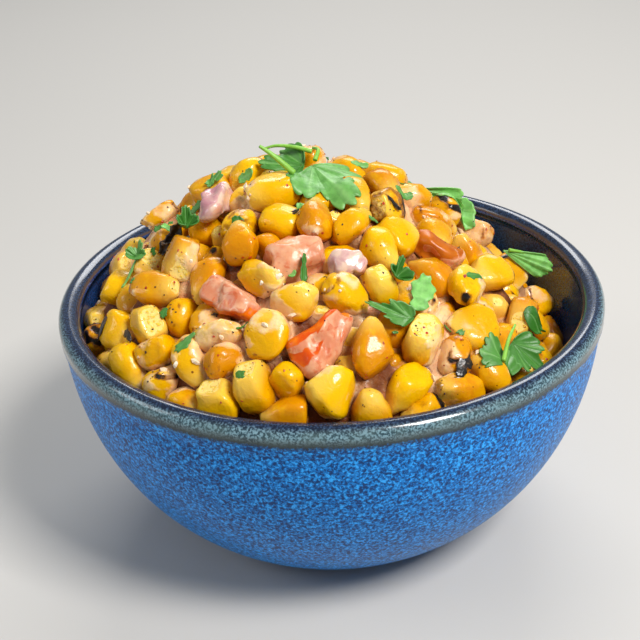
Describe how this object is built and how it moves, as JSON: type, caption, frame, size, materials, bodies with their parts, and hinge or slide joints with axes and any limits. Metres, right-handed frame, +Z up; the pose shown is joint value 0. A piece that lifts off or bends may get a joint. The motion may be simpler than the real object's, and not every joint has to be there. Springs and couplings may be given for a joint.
{
  "type": "bowl of elote corn salad",
  "caption": "Round glazed stoneware bowl heaped with loose street-corn salad, with diced tomato and onion set into the heap.",
  "frame": {"origin": "centre of the ring that the bowl stands on, at the bottom of the part", "axes": "+Z up along the bowl's axis, -Y towards the diner, +X to the diner's right"},
  "size_m": [0.1278, 0.1278, 0.0879],
  "materials": {
    "glaze": "speckled blue gloss glaze",
    "salad": "moist, glossy",
    "tomato": "moist, glossy",
    "onion": "moist, glossy"
  },
  "bodies": {
    "root": {"bowl": "glaze", "corn_salad": "salad", "tomato_front": "tomato", "tomato_left": "tomato", "tomato_top": "tomato", "tomato_right": "tomato", "onion_centre": "onion", "onion_left": "onion"}
  },
  "joints": []
}
